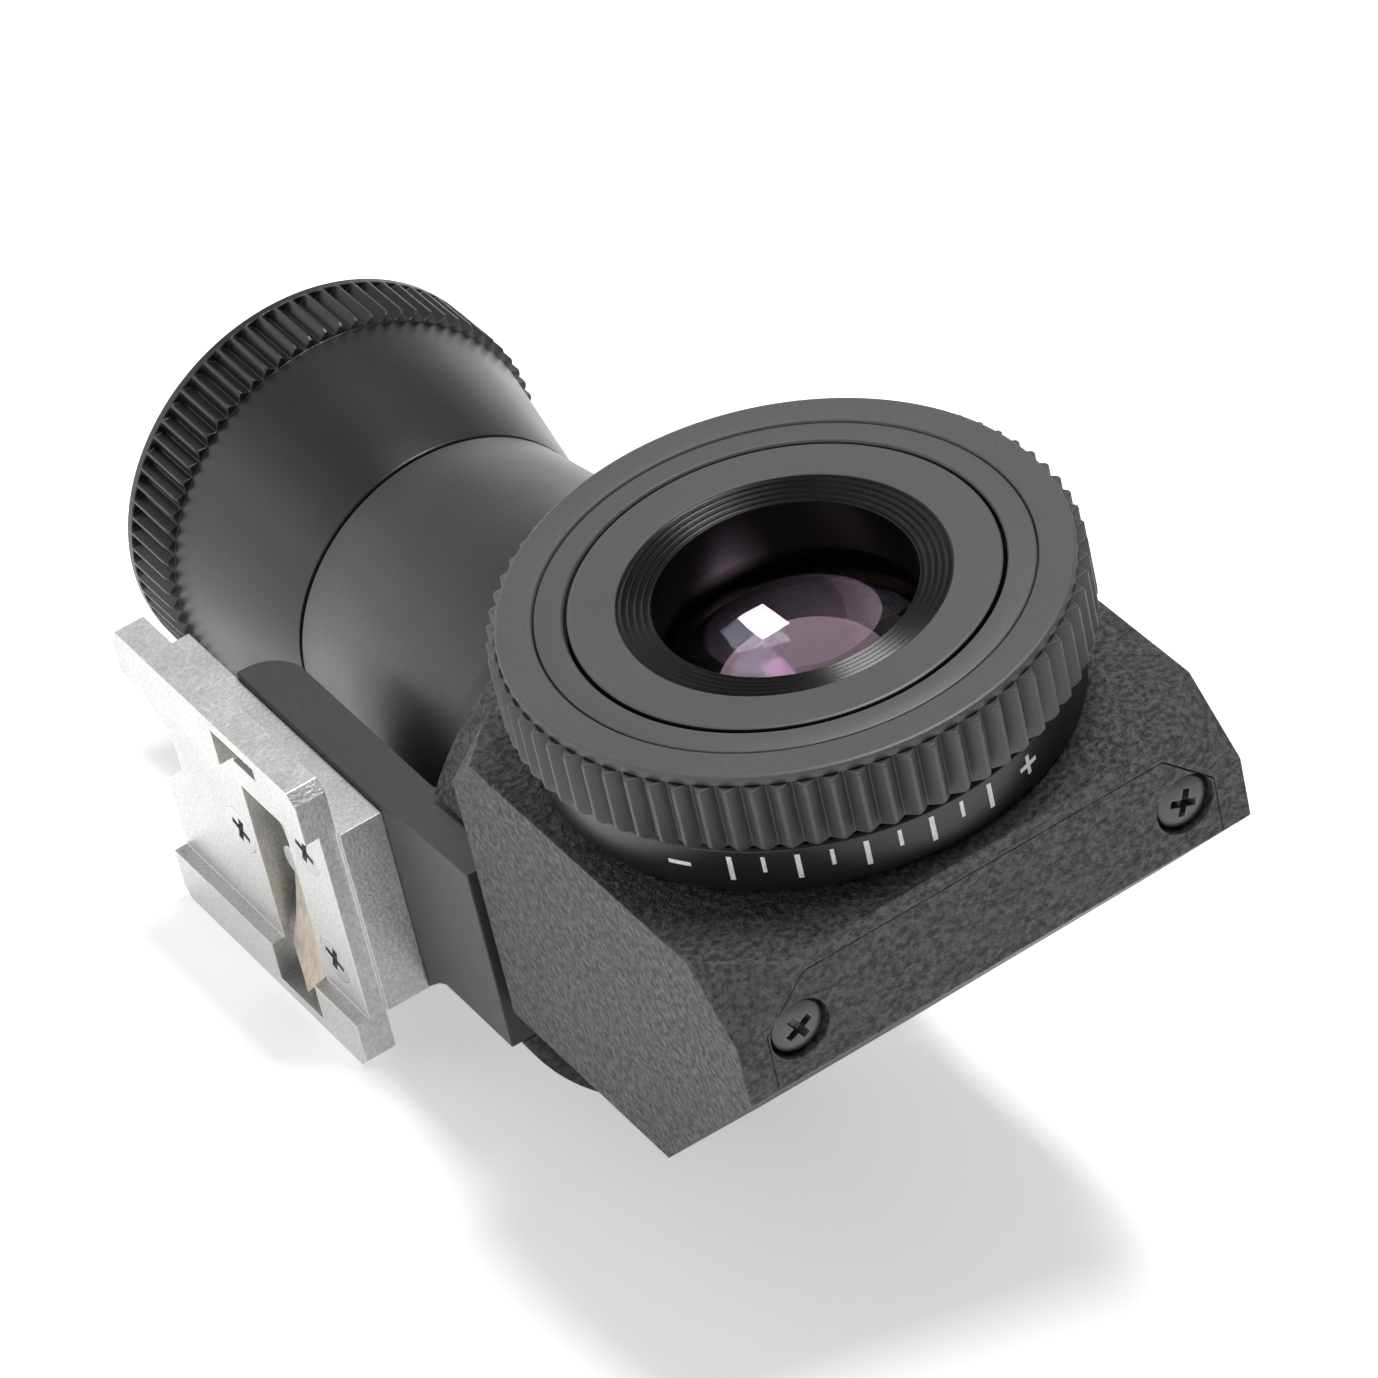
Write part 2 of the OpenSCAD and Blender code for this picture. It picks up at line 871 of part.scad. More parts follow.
// Shallow steps that run in from the cell's face to the threaded bore
function mouth_stairs() = [for (i = [0 : mouth_steps - 1])
  let (r = mouth_r - i * (mouth_r - eye_stop_r) / mouth_steps,
       next_r = mouth_r - (i + 1) * (mouth_r - eye_stop_r) / mouth_steps,
       z = cell_face - (i + 1) * mouth_deep / mouth_steps)
  each [[r, z], [next_r, z]]];

module eye_cell() {
  color(black)
    difference() {
      on_eyepiece(0)
        rotate_extrude()
          polygon(concat([[eye_bore, eye_stop_z], [eye_bore, cell_bottom], [cell_low_r, cell_bottom],
            [cell_low_r, cell_step], [cell_r, cell_step], [cell_r, cell_face - 0.1],
            [cell_r - 0.1, cell_face], [mouth_r, cell_face]],
            mouth_stairs(), [[eye_stop_r, eye_stop_z]]));
      translate([axis_x, eye_y, eye_key_z])
        rotate([0, 90, 0])
          cylinder(r = 0.5 + eps, h = cell_r + over);
    }
}

module eye_lens() {
  color(glass)
    on_eyepiece(18.1)
      lens(eye_bore - eps, 3.1, 26, 15);
}

module lens_spacer() {
  color(black)
    on_eyepiece(17.2)
      tube(eye_bore - eps, 6, 1.55);
}

module inner_lens() {
  color(glass)
    on_eyepiece(14.8)
      lens(eye_bore - eps, 2.4, 20, -40);
}

module lens_retainer() {
  color(black)
    on_eyepiece(cell_bottom + 0.2)
      tube(eye_bore - eps, 6.2, 2.5);
}

module eye_key_pin() {
  color(steel)
    translate([axis_x + 9, eye_y, eye_key_z])
      rotate([0, 90, 0])
        cylinder(r = 0.5, h = 2.4);
}

shoe_foot();
foot_spring();
spring_rivet();
foot_screws();
bracket_arm();
collar_ring();
arm_screws();
thrust_washer();
detent_ball();
detent_spring();
detent_screw();
mirror_housing();
mirror_cover();
cover_screws();
mirror();
mirror_pad();
stop_pin();
barrel_tube();
tube_lock_ring();
field_stop();
relay_lens();
relay_lens_ring();
sleeve_retainer();
eyepiece_neck();
snap_ring();
dioptre_ring();
eye_cell();
eye_lens();
lens_spacer();
inner_lens();
lens_retainer();
eye_key_pin();
objective_sleeve();
objective_cell();
front_lens();
front_lens_ring();
objective_key_pin();
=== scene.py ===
import json
import math

import bmesh
import bpy
from mathutils import Matrix, Vector


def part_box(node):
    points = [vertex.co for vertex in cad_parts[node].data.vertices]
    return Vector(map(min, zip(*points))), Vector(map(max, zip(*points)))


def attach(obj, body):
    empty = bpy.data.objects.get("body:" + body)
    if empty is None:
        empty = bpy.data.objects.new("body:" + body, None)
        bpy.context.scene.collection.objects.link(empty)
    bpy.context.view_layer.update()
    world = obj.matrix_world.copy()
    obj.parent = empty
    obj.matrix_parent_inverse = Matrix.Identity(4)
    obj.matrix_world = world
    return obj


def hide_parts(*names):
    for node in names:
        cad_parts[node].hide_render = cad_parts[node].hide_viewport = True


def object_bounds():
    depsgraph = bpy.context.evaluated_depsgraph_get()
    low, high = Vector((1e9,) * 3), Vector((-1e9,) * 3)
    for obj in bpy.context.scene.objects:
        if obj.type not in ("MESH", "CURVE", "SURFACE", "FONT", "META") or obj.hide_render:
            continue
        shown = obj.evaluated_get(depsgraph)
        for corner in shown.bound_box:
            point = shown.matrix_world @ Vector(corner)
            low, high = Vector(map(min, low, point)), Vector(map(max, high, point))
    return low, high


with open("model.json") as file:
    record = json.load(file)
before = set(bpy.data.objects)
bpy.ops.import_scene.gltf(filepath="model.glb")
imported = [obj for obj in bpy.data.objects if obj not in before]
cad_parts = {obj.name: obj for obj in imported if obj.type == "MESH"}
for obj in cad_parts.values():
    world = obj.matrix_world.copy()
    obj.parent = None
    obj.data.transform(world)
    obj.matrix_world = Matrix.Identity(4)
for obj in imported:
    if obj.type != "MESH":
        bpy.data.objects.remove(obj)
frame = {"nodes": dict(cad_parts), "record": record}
cad_lo, cad_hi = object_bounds()
nodes = frame["nodes"]

MM = 0.001
SLOT_OF = {part["node"]: part["material_slot"] for part in frame["record"]["subparts"]}


def middle(node):
    lo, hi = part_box(node)
    return (lo + hi) / 2


# Sizes in millimetres, the same as the CAD's
BARREL_X = middle("barrel_tube").x / MM
EYE_Y = middle("eyepiece_neck").y / MM

RING_Z0, RING_Z1 = (corner.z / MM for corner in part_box("dioptre_ring"))
RING_BORE = 12.25
RING_LIP_R = 14.1
RING_LIP = 0.5
RING_ROOT = 13.9
RING_TIP = 14.6
RING_TEETH = 72

NECK_Z0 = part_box("mirror_housing")[1].z / MM
NECK_R = 13.5
NECK_TOP_R = 12.2
NECK_BORE = 8.65
NECK_LEDGE_Z = 16.7
SPIGOT_R = 10.3
SNAP_Z = 21.0
MARK_HIGH = 0.012

CELL_R = 10.6
CELL_LOW_R = 8.6
CELL_STEP_Z = 18.0
CELL_FACE = RING_Z1 - 0.05
MOUTH_R = 8.2
MOUTH_DEEP = 0.3
MOUTH_STEPS = 5
EYE_BORE = 7.25
EYE_STOP_R = 6.5
EYE_STOP_Z = 21.2

TUBE_BORE = 6.9
TUBE_THREAD_R = 8.4
TUBE_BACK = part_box("barrel_tube")[0].y / MM
JOURNAL_Y0 = -19.0
JOURNAL_R = 10.4
SHOULDER_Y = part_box("collar_ring")[1].y / MM + 0.05
TUBE_R = 11.5
FLARE_Y = -8.0
WAIST_Y = 9.4
WAIST_R = 9.3
NOSE_R = 8.2
NOSE_Y = 16.5

SLEEVE_Y0, SLEEVE_Y1 = (corner.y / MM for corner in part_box("objective_sleeve"))
RIM_Y0 = SLEEVE_Y1 - 5.3
RIM_Y1 = SLEEVE_Y1 - 0.9
RIM_ROOT = 11.25
RIM_TIP = 11.75
RIM_TEETH = 76
LIP_R = 10.65
HOOD_R = 9.6
HOOD_DEEP = 2.2
FRONT_BORE = 9.3
SEAT_Y = 15.0

HOUSE_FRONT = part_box("mirror_housing")[0].y / MM
SCREW_DX = 11.2
SCREW_Z = 12.4
SCREW_R = 1.5

# What the finder rests on: the foot's lower outer edge and the collar's underside
REST_TILT = math.radians(18.2)
UP = Vector((math.sin(REST_TILT), 0, math.cos(REST_TILT)))
REST_HEIGHT = -8.84 * MM

# Where the camera stands: turned and raised in degrees, aimed at a point in millimetres
VIEW_AZIMUTH = -24.434
VIEW_ELEVATION = 38.980
VIEW_ROLL = -13.468
VIEW_AIM = (22.95, -8.66, 1.99)
VIEW_DISTANCE = 411.5
LENS_MM = 208.9
FLOOR_R = 3.0


# ---------------------------------------------------------------- mesh helpers

def on_eyepiece():
    """From a lathe's own frame to the eyepiece axis, with height as z."""
    return Matrix.Translation(Vector((BARREL_X, EYE_Y, 0)) * MM)


def on_barrel():
    """From a lathe's own frame to the barrel axis, with height as y."""
    return Matrix.Translation(Vector((BARREL_X, 0, 0)) * MM) @ Matrix.Rotation(-math.pi / 2, 4, "X")


def finished(name, mesh_data, body, material, replaced=(), crease=30):
    """Makes the object, smooths it except across its creases, and hangs it on its body."""
    mesh = bpy.data.meshes.new(name)
    mesh_data.to_mesh(mesh)
    mesh_data.free()
    mesh.polygons.foreach_set("use_smooth", [True] * len(mesh.polygons))
    mesh.set_sharp_from_angle(angle=math.radians(crease))
    obj = bpy.data.objects.new(name, mesh)
    bpy.context.scene.collection.objects.link(obj)
    mesh.materials.append(material)
    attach(obj, body)
    for node in replaced:
        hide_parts(node)
    return obj


def softened_corners(points, radius, steps=3):
    """The closed outline with each corner turned into a small curve."""
    out = []
    count = len(points)
    for i, corner in enumerate(points):
        corner = Vector(corner)
        before = Vector(points[i - 1]) - corner
        after = Vector(points[(i + 1) % count]) - corner
        reach_in = min(radius, before.length * 0.4)
        reach_out = min(radius, after.length * 0.4)
        start = corner + before.normalized() * reach_in
        end = corner + after.normalized() * reach_out
        for step in range(steps + 1):
            t = step / steps
            out.append((1 - t) ** 2 * start + 2 * t * (1 - t) * corner + t ** 2 * end)
    return out


def lathe(outline, place, steps=224):
    """A closed (radius, height) outline turned about the axis of place, in millimetres."""
    bm = bmesh.new()
    rings = []
    for step in range(steps):
        angle = 2 * math.pi * step / steps
        ring = []
        for radius, height in outline:
            spot = Vector((radius * math.cos(angle), radius * math.sin(angle), height)) * MM
            ring.append(bm.verts.new(place @ spot))
        rings.append(ring)
    join_rings(bm, rings)
    return bm


def knurled(outline, depth, teeth, place):
    """A turned outline whose (radius, height, share) points stand out by their share of each tooth."""
    tooth = [(-0.5, 0.0), (-0.28, 0.48), (-0.06, 0.98), (0.06, 1.0), (0.28, 0.52), (0.46, 0.04)]
    bm = bmesh.new()
    rings = []
    for i in range(teeth):
        for offset, height_share in tooth:
            angle = 2 * math.pi * (i + offset) / teeth
            ring = []
            for radius, height, share in outline:
                reach = radius + depth * share * height_share
                spot = Vector((reach * math.cos(angle), reach * math.sin(angle), height)) * MM
                ring.append(bm.verts.new(place @ spot))
            rings.append(ring)
    join_rings(bm, rings)
    return bm


def join_rings(bm, rings):
    """Faces between neighbouring rings of a closed outline, all the way round."""
    count = len(rings[0])
    for here, after in zip(rings, rings[1:] + rings[:1]):
        for k in range(count):
            nxt = (k + 1) % count
            bm.faces.new((here[k], after[k], after[nxt], here[nxt]))
    bmesh.ops.recalc_face_normals(bm, faces=bm.faces)


def cleaned(node):
    """A copy of a CAD node's shape with its flat faces whole again."""
    bm = bmesh.new()
    bm.from_mesh(nodes[node].data)
    bmesh.ops.remove_doubles(bm, verts=bm.verts, dist=0.001 * MM)
    bmesh.ops.dissolve_limit(bm, angle_limit=math.radians(0.6), verts=bm.verts, edges=bm.edges)
    return bm


def rounded_edges(bm, width, sharper_than=32):
    """Rounds every edge sharper than the angle."""
    limit = math.radians(sharper_than)
    edges = [e for e in bm.edges if e.is_manifold and e.calc_face_angle(0) > limit]
    bmesh.ops.bevel(bm, geom=edges, offset=width * MM, segments=2, profile=0.5,
                    affect="EDGES", clamp_overlap=True)
    bmesh.ops.recalc_face_normals(bm, faces=bm.faces)
    return bm


def cut_away(bm, cutters):
    """Subtracts the cutter meshes from bm and returns what is left."""
    body = scratch_object(bm)
    for cutter in cutters:
        tool = scratch_object(cutter)
        step = body.modifiers.new("cut", "BOOLEAN")
        step.operation = "DIFFERENCE"
        step.solver = "EXACT"
        step.object = tool
        left = bpy.data.meshes.new_from_object(
            body.evaluated_get(bpy.context.evaluated_depsgraph_get()))
        body.modifiers.clear()
        body.data = left
        bpy.data.objects.remove(tool)
    result = bmesh.new()
    result.from_mesh(body.data)
    bpy.data.objects.remove(body)
    return result


def scratch_object(bm):
    mesh = bpy.data.meshes.new("scratch")
    bm.to_mesh(mesh)
    bm.free()
    obj = bpy.data.objects.new("scratch", mesh)
    bpy.context.scene.collection.objects.link(obj)
    return obj


# ---------------------------------------------------------------- materials

def add(tree, kind, sockets=None, **settings):
    """Adds a shader node, sets it up and fills or wires its input sockets."""
    node = tree.nodes.new("ShaderNode" + kind)
    for key, value in settings.items():
        setattr(node, key, value)
    for key, value in (sockets or {}).items():
        if isinstance(value, bpy.types.NodeSocket):
            tree.links.new(value, node.inputs[key])
        else:
            node.inputs[key].default_value = value
    return node


def ramp(tree, factor, low, high, to_low=0.0, to_high=1.0):
    """factor carried from low..high to to_low..to_high, held at the ends."""
    node = add(tree, "MapRange", {"Value": factor, "From Min": low, "From Max": high,
                                  "To Min": to_low, "To Max": to_high})
    return node.outputs["Result"]


def blend(tree, factor, first, second):
    """Colour mixed from first to second."""
    node = add(tree, "Mix", {0: factor, 6: first, 7: second}, data_type="RGBA")
    return node.outputs[2]


def noise(tree, where, size_mm, detail=3.0, roughness=0.55):
    node = add(tree, "TexNoise", {"Vector": where, "Scale": 1 / (size_mm * MM), "Detail": detail,
                                  "Roughness": roughness})
    return node.outputs["Fac"]


def colour(value, tint=(1.0, 1.0, 1.0)):
    return (value * tint[0], value * tint[1], value * tint[2], 1.0)


def start_material(name):
    material = bpy.data.materials.new(name)
    material.use_nodes = True
    tree = material.node_tree
    tree.nodes.clear()
    where = add(tree, "TexCoord").outputs["Object"]
    return material, tree, where


def softened_normal(tree, radius_mm):
    """The surface's direction with sharp edges rounded off."""
    return add(tree, "Bevel", {"Radius": radius_mm * MM}, samples=4).outputs["Normal"]


def edge_share(tree, rounded, low, high):
    """1 along the sharp edges of the piece and 0 on its faces."""
    flat = add(tree, "NewGeometry").outputs["Normal"]
    same = add(tree, "VectorMath", {0: rounded, 1: flat}, operation="DOT_PRODUCT").outputs["Value"]
    return ramp(tree, same, high, low)


def dust_share(tree, where, spacing_mm, speck_mm):
    """1 on a few scattered specks of dust."""
    cells = add(tree, "TexVoronoi", {"Vector": where, "Scale": 1 / (spacing_mm * MM)})
    near = ramp(tree, cells.outputs["Distance"], speck_mm / spacing_mm, 0.6 * speck_mm / spacing_mm)
    picked = add(tree, "SeparateColor", {"Color": cells.outputs["Color"]}).outputs["Red"]
    chosen = ramp(tree, picked, 0.8, 0.82)
    return add(tree, "Math", {0: near, 1: chosen}, operation="MULTIPLY").outputs["Value"]


def turned_lines(tree, where, centre_mm, keep, pitch_mm):
    """Fine tool marks round an axis through centre; keep picks the two axes across it."""
    centre = Vector(centre_mm) * MM
    away = add(tree, "VectorMath", {0: where, 1: centre}, operation="SUBTRACT").outputs["Vector"]
    flat = add(tree, "VectorMath", {0: away, 1: keep}, operation="MULTIPLY").outputs["Vector"]
    radius = add(tree, "VectorMath", {0: flat}, operation="LENGTH").outputs["Value"]
    turns = add(tree, "Math", {0: radius, 1: 2 * math.pi / (pitch_mm * MM)}, operation="MULTIPLY")
    return add(tree, "Math", {0: turns.outputs["Value"]}, operation="SINE").outputs["Value"]


def close_material(tree, shader):
    add(tree, "OutputMaterial", {"Surface": shader.outputs[0]})


def black_finish(name, dark, light, grain_mm, bump_mm, rough, edge=0.35, edge_tone=0.12,
                 dust=0.5, turned=None, spec=0.5):
    """Black paint or anodising: grain in its colour and surface, paler worn edges, dust."""
    material, tree, where = start_material(name)
    grain = noise(tree, where, grain_mm)
    broad = noise(tree, where, 9.0, 2.0)
    paint = blend(tree, ramp(tree, grain, 0.3, 0.7), colour(dark), colour(light, (1.0, 1.0, 1.05)))
    rounded = softened_normal(tree, 0.11)
    worn = edge_share(tree, rounded, 0.86, 0.995)
    patchy = ramp(tree, noise(tree, where, 1.3, 4.0), 0.35, 0.65, 0.35 * edge, edge)
    worn_here = add(tree, "Math", {0: worn, 1: patchy}, operation="MULTIPLY").outputs["Value"]
    tone = blend(tree, worn_here, paint, colour(edge_tone))
    specks = dust_share(tree, where, 2.4, 0.06)
    tone = blend(tree, ramp(tree, specks, 0.0, 1.0, 0.0, dust), tone, colour(0.45, (1.0, 0.97, 0.9)))
    height = grain
    if turned:
        lines = turned_lines(tree, where, *turned)
        height = add(tree, "Math", {0: lines, 1: 0.25, 2: grain}, operation="MULTIPLY_ADD").outputs["Value"]
    surface = add(tree, "Bump", {"Strength": 1.0, "Distance": bump_mm * MM, "Height": height,
                                 "Normal": rounded}).outputs["Normal"]
    shader = add(tree, "BsdfPrincipled", {
        "Base Color": tone, "Normal": surface, "Specular IOR Level": spec,
        "Roughness": ramp(tree, broad, 0.3, 0.7, rough - 0.06, rough + 0.06)})
    close_material(tree, shader)
    return material


def wrinkle_black():
    """Black crackle paint on cast metal, pebbled at about half a millimetre."""
    material, tree, where = start_material("wrinkle_black")
    pebbles = add(tree, "TexVoronoi", {"Vector": where, "Scale": 1 / (0.55 * MM), "Randomness": 1.0},
                  feature="SMOOTH_F1").outputs["Distance"]
    fine = noise(tree, where, 0.34, 4.0, 0.7)
    broad = noise(tree, where, 6.0, 3.0)
    height = add(tree, "Math", {0: pebbles, 1: -0.6, 2: fine}, operation="MULTIPLY_ADD").outputs["Value"]
    rounded = softened_normal(tree, 0.16)
    surface = add(tree, "Bump", {"Strength": 1.0, "Distance": 0.22 * MM, "Height": height,
                                 "Normal": rounded}).outputs["Normal"]
    paint = blend(tree, ramp(tree, fine, 0.4, 0.62), colour(0.004), colour(0.068, (1.0, 1.0, 1.03)))
    paint = blend(tree, ramp(tree, broad, 0.35, 0.75, 0.0, 0.3), paint, colour(0.03))
    worn = edge_share(tree, rounded, 0.86, 0.995)
    patchy = ramp(tree, noise(tree, where, 0.7, 4.0), 0.35, 0.65, 0.15, 0.6)
    worn_here = add(tree, "Math", {0: worn, 1: patchy}, operation="MULTIPLY").outputs["Value"]
    tone = blend(tree, worn_here, paint, colour(0.13))
    shader = add(tree, "BsdfPrincipled", {
        "Base Color": tone, "Normal": surface, "Specular IOR Level": 0.4,
        "Roughness": ramp(tree, fine, 0.3, 0.7, 0.6, 0.36)})
    close_material(tree, shader)
    return material


def bare_metal(name, tint, value, rough, grain_mm, bump_mm, metallic=1.0,
               streak=(1.0, 1.0, 1.0), edge_tone=0.9, stain=0.25):
    """Unpainted metal: blasted, rolled or brushed, with soft stains and brighter edges."""
    material, tree, where = start_material(name)
    drawn = add(tree, "VectorMath", {0: where, 1: streak}, operation="MULTIPLY").outputs["Vector"]
    grain = noise(tree, drawn, grain_mm, 3.0)
    broad = noise(tree, where, 4.0, 3.0)
    face = blend(tree, ramp(tree, grain, 0.3, 0.7), colour(value * 0.7, tint), colour(value, tint))
    face = blend(tree, ramp(tree, broad, 0.5, 0.8, 0.0, stain), face, colour(value * 0.55, tint))
    rounded = softened_normal(tree, 0.09)
    worn = edge_share(tree, rounded, 0.86, 0.995)
    tone = blend(tree, ramp(tree, worn, 0.0, 1.0, 0.0, 0.7), face, colour(edge_tone, tint))
    surface = add(tree, "Bump", {"Strength": 1.0, "Distance": bump_mm * MM, "Height": grain,
                                 "Normal": rounded}).outputs["Normal"]
    shader = add(tree, "BsdfPrincipled", {
        "Base Color": tone, "Metallic": metallic, "Normal": surface,
        "Roughness": ramp(tree, broad, 0.3, 0.7, rough - 0.06, rough + 0.08)})
    close_material(tree, shader)
    return material


def polished_glass(name, low, high, share):
    """Clear glass whose coating gives a faint coloured reflection, shifting towards the rim."""
    material, tree, where = start_material(name)
    facing = add(tree, "LayerWeight", {"Blend": 0.35}).outputs["Facing"]
    smears = noise(tree, where, 1.6, 4.0)
    tint = blend(tree, ramp(tree, facing, 0.1, 0.75), colour(1.0, low), colour(1.0, high))
    wipe = ramp(tree, smears, 0.45, 0.75, 0.0, 0.05)
    clear = add(tree, "BsdfGlass", {"Color": colour(0.9), "IOR": 1.6, "Roughness": wipe})
    coat = add(tree, "BsdfGlossy", {"Color": tint, "Roughness": wipe})
    bounce = ramp(tree, facing, 0.0, 1.0, share, share + 0.3)
    shader = add(tree, "MixShader", {0: bounce, 1: clear.outputs[0], 2: coat.outputs[0]})
    close_material(tree, shader)
    return material


def silvered():
    material, tree, where = start_material("front_silvered")
    haze = noise(tree, where, 3.0, 4.0)
    shader = add(tree, "BsdfPrincipled", {
        "Base Color": blend(tree, haze, colour(0.82), colour(0.92)), "Metallic": 1.0,
        "Roughness": ramp(tree, haze, 0.4, 0.8, 0.02, 0.08)})
    close_material(tree, shader)
    return material


def white_paint():
    """White filling of the engraved marks, a little worn."""
    material, tree, where = start_material("mark_white")
    wear = noise(tree, where, 0.25, 3.0)
    shader = add(tree, "BsdfPrincipled", {
        "Base Color": blend(tree, ramp(tree, wear, 0.3, 0.75), colour(0.8), colour(0.55)),
        "Roughness": ramp(tree, wear, 0.3, 0.7, 0.5, 0.7)})
    close_material(tree, shader)
    return material


EYE_AXIS = (BARREL_X, EYE_Y, 0)
BARREL_AXIS = (BARREL_X, 0, 0)
ACROSS_EYE = (1.0, 1.0, 0.0)
ACROSS_BARREL = (1.0, 0.0, 1.0)

materials = {
    "satin_silver": bare_metal("satin_silver", tint=(1.0, 1.0, 0.985), value=0.68, rough=0.42,
                               grain_mm=0.2, bump_mm=0.03, metallic=0.9, stain=0.12),
    "bronze_leaf": bare_metal("bronze_leaf", tint=(1.0, 0.88, 0.74), value=0.66, rough=0.45,
                              grain_mm=0.2, bump_mm=0.014, streak=(1.0, 0.6, 0.12), stain=0.3),
    "bright_steel": bare_metal("bright_steel", tint=(1.0, 1.0, 1.0), value=0.66, rough=0.3,
                               grain_mm=0.1, bump_mm=0.006),
    "dark_steel": bare_metal("dark_steel", tint=(1.0, 1.0, 1.03), value=0.09, rough=0.36,
                             grain_mm=0.1, bump_mm=0.006, metallic=0.7, edge_tone=0.3),
    "arm_black": black_finish("arm_black", dark=0.02, light=0.034, grain_mm=0.14, bump_mm=0.008,
                              rough=0.5, edge_tone=0.14),
    "rough_black": wrinkle_black(),
    "anodised_black": black_finish("anodised_black", dark=0.004, light=0.008, grain_mm=0.1,
                                   bump_mm=0.0022, rough=0.34, edge=0.5, edge_tone=0.09,
                                   turned=(BARREL_AXIS, ACROSS_BARREL, 0.12)),
    "ring_black": black_finish("ring_black", dark=0.042, light=0.058, grain_mm=0.1, bump_mm=0.003,
                               rough=0.5, edge=0.5, edge_tone=0.16,
                               turned=(EYE_AXIS, ACROSS_EYE, 0.14)),
    # Darker, glossier copy of the ring's black finish for the cell's mouth faces: painted shade in the
    # recess.
    "mouth_painted_shade": black_finish("mouth_painted_shade", dark=0.002, light=0.004, grain_mm=0.1, bump_mm=0.001,
                                rough=0.25, edge=0.3, edge_tone=0.05, dust=0.3, spec=0.2),
    "front_silvered": silvered(),
    "foam_black": black_finish("foam_black", dark=0.02, light=0.04, grain_mm=0.3, bump_mm=0.05,
                               rough=0.85, edge=0.0, dust=0.2),
    "optical_glass": polished_glass("optical_glass", low=(0.55, 0.7, 1.0), high=(0.9, 0.8, 0.9),
                                    share=0.02),
    "coated_glass": polished_glass("coated_glass", low=(0.95, 0.66, 0.92), high=(0.9, 0.58, 0.42),
                                   share=0.28),
}


# ---------------------------------------------------------------- eyepiece

def dioptre_ring():
    """Knurled ring round the eyepiece: sharp straight teeth that run out at the bottom."""
    teeth_top = RING_Z1 - RING_LIP
    outline = [
        (RING_BORE, RING_Z0, 0), (RING_ROOT - 0.4, RING_Z0, 0), (RING_ROOT - 0.05, RING_Z0 + 0.3, 0),
        (RING_ROOT, RING_Z0 + 0.35, 0.55), (RING_ROOT, RING_Z0 + 0.75, 0.97),
        (RING_ROOT, RING_Z0 + 1.1, 1), (RING_ROOT, teeth_top - 0.1, 1),
        (RING_ROOT - 0.02, teeth_top, 0.9), (RING_ROOT - 0.04, teeth_top - 0.12, 0),
        (RING_LIP_R - 0.2, teeth_top - 0.1, 0), (RING_LIP_R, teeth_top + 0.03, 0),
        (RING_LIP_R, RING_Z1 - 0.16, 0), (RING_LIP_R - 0.05, RING_Z1 - 0.05, 0),
        (RING_LIP_R - 0.16, RING_Z1, 0), (RING_BORE + 0.22, RING_Z1, 0),
        (RING_BORE + 0.08, RING_Z1 - 0.03, 0), (RING_BORE, RING_Z1 - 0.14, 0),
        (RING_BORE, SNAP_Z + 0.35, 0), (RING_BORE + 0.45, SNAP_Z + 0.35, 0),
        (RING_BORE + 0.45, SNAP_Z - 0.35, 0), (RING_BORE, SNAP_Z - 0.35, 0)]
    bm = knurled(outline, RING_TIP - RING_ROOT, RING_TEETH, on_eyepiece())
    finished("knurled_eyepiece_ring", bm, "dioptre_ring", materials["ring_black"], ["dioptre_ring"], 24)


def mouth_outline():
    """The cell's mouth from its face down to the lens: shallow ridged steps, then a plain bore."""
    tread = (MOUTH_R - EYE_STOP_R) / MOUTH_STEPS
    fall = MOUTH_DEEP / MOUTH_STEPS
    points = [(MOUTH_R + 0.05, CELL_FACE)]
    for i in range(MOUTH_STEPS):
        outer = MOUTH_R - i * tread
        height = CELL_FACE - (i + 1) * fall
        points.append((outer, height))
        points.append((outer - tread * 0.3, height - 0.06))
        points.append((outer - tread * 0.85, height + 0.03))
    points.append((EYE_STOP_R, CELL_FACE - MOUTH_DEEP - 0.05))
    points.append((EYE_STOP_R, EYE_STOP_Z))
    return points


def eye_cell():
    """Cell that holds the eye lenses, with a stepped mouth; its mouth faces get painted shade."""
    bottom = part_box("eye_cell")[0].z / MM
    outline = mouth_outline() + [
        (EYE_BORE, EYE_STOP_Z), (EYE_BORE, bottom), (CELL_LOW_R, bottom), (CELL_LOW_R, CELL_STEP_Z),
        (CELL_R, CELL_STEP_Z),
        (CELL_R, CELL_FACE - 0.16), (CELL_R - 0.05, CELL_FACE - 0.05), (CELL_R - 0.16, CELL_FACE)]
    bm = lathe(outline, on_eyepiece())
    cell = finished("stepped_eye_cell", bm, "eyepiece_cell", materials["ring_black"], ["eye_cell"], 12)
    # The faces below the cell's face take the darker copy: painted shade in the mouth.
    cell.data.materials.append(materials["mouth_painted_shade"])
    for face in cell.data.polygons:
        if face.center.z < (CELL_FACE - 0.03) * MM:
            face.material_index = 1


